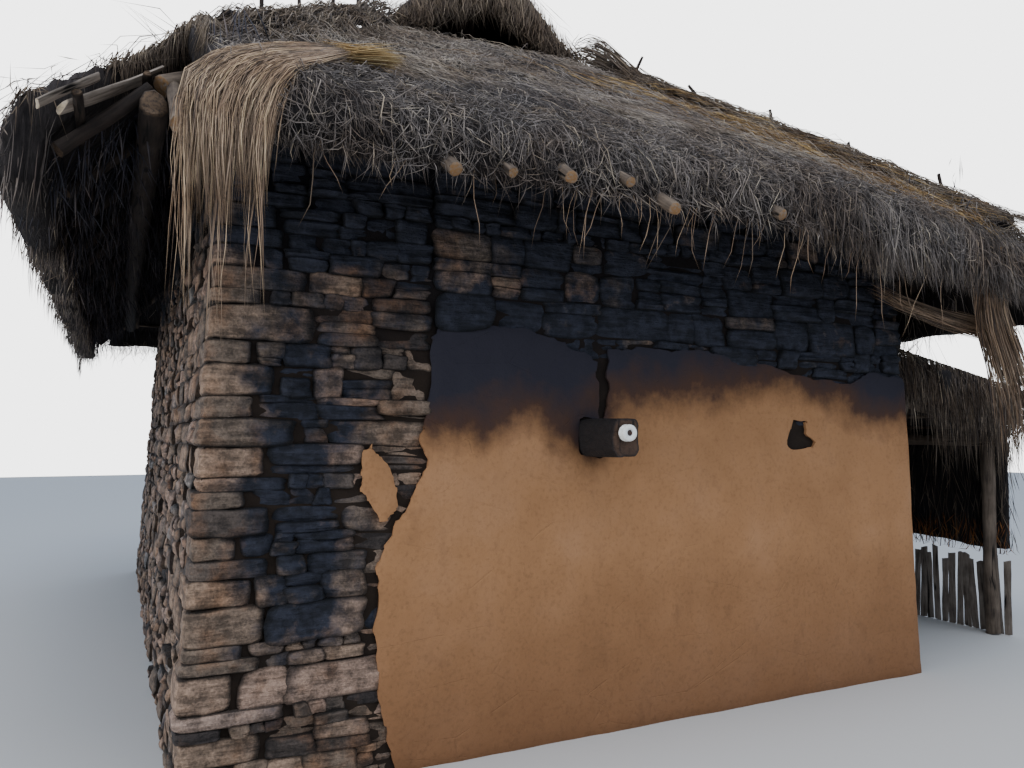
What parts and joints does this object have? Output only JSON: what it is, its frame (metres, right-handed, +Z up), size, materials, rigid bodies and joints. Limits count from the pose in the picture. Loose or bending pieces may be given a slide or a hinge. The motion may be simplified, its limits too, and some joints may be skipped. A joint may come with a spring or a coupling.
{
  "type": "thatched stone farmhouse",
  "caption": "Small hill farmhouse of battered rubble walls with mud plaster on the end wall, under a hipped thatch roof with open gablets and a low lean-to.",
  "frame": {"origin": "ground level under the middle of the plastered end wall, halfway through its thickness", "axes": "+X along the end wall, to the right as it is seen from outside, +Y along the house to its back, +Z up"},
  "size_m": [6.64, 7.7854, 5.5561],
  "materials": {
    "rubble_stone": "split schist, sooted in its upper half",
    "mud_plaster": "matt ochre mud plaster, sooted at the top",
    "grey_thatch": "weathered grey straw",
    "dark_thatch": "dark brown old straw",
    "golden_straw": "fresh pale straw",
    "pole_wood": "weathered poles with some bark",
    "smoked_timber": "rough timber, dark with smoke",
    "split_board": "silvered split boards",
    "white_glaze": "glossy white glaze",
    "old_iron": "dull iron"
  },
  "bodies": {
    "root": {"back_wall": "rubble_stone", "corner_board_long": "split_board", "corner_board_short": "split_board", "corner_hank": "golden_straw", "door_jamb_far": "smoked_timber", "door_jamb_near": "smoked_timber", "door_lintel": "smoked_timber", "eave_purlin_left": "pole_wood", "eave_purlin_right": "pole_wood", "front_left_pier": "rubble_stone", "front_plaster": "mud_plaster", "front_wall": "rubble_stone", "gablet_fringe_back": "dark_thatch", "gablet_fringe_front": "dark_thatch", "hip_pole_back_left": "pole_wood", "hip_pole_back_right": "pole_wood", "hip_pole_front_left": "pole_wood", "hip_pole_front_right": "pole_wood", "hip_roll_back_left": "dark_thatch", "hip_roll_back_right": "dark_thatch", "hip_roll_front_left": "dark_thatch", "hip_roll_front_right": "dark_thatch", "insulator_screw": "old_iron", "king_post_back": "smoked_timber", "king_post_front": "smoked_timber", "leanto_ledger": "pole_wood", "leanto_plate": "pole_wood", "leanto_post_back": "pole_wood", "leanto_post_front": "pole_wood", "leanto_post_middle": "pole_wood", "leanto_rafters": "pole_wood", "leanto_screen": "dark_thatch", "leanto_thatch": "dark_thatch", "left_wall": "rubble_stone", "plaster_scrap": "mud_plaster", "projecting_log": "smoked_timber", "rafters_back": "pole_wood", "rafters_front": "pole_wood", "rafters_left": "pole_wood", "rafters_right": "pole_wood", "reel_insulator": "white_glaze", "ridge_pinning_pole": "pole_wood", "ridge_pole": "smoked_timber", "ridge_roll": "dark_thatch", "right_wall_far": "rubble_stone", "right_wall_near": "rubble_stone", "right_wall_over_door": "rubble_stone", "straw_hank": "golden_straw", "thatch_back": "grey_thatch", "thatch_front": "grey_thatch", "thatch_left": "grey_thatch", "thatch_right": "grey_thatch", "tie_beam_back": "smoked_timber", "tie_beam_front": "smoked_timber", "tie_beam_middle": "smoked_timber", "wall_plate_back": "smoked_timber", "wall_plate_front": "smoked_timber", "wall_plate_left": "smoked_timber", "wall_plate_right": "smoked_timber", "wattle_panel": "split_board"}
  },
  "joints": []
}
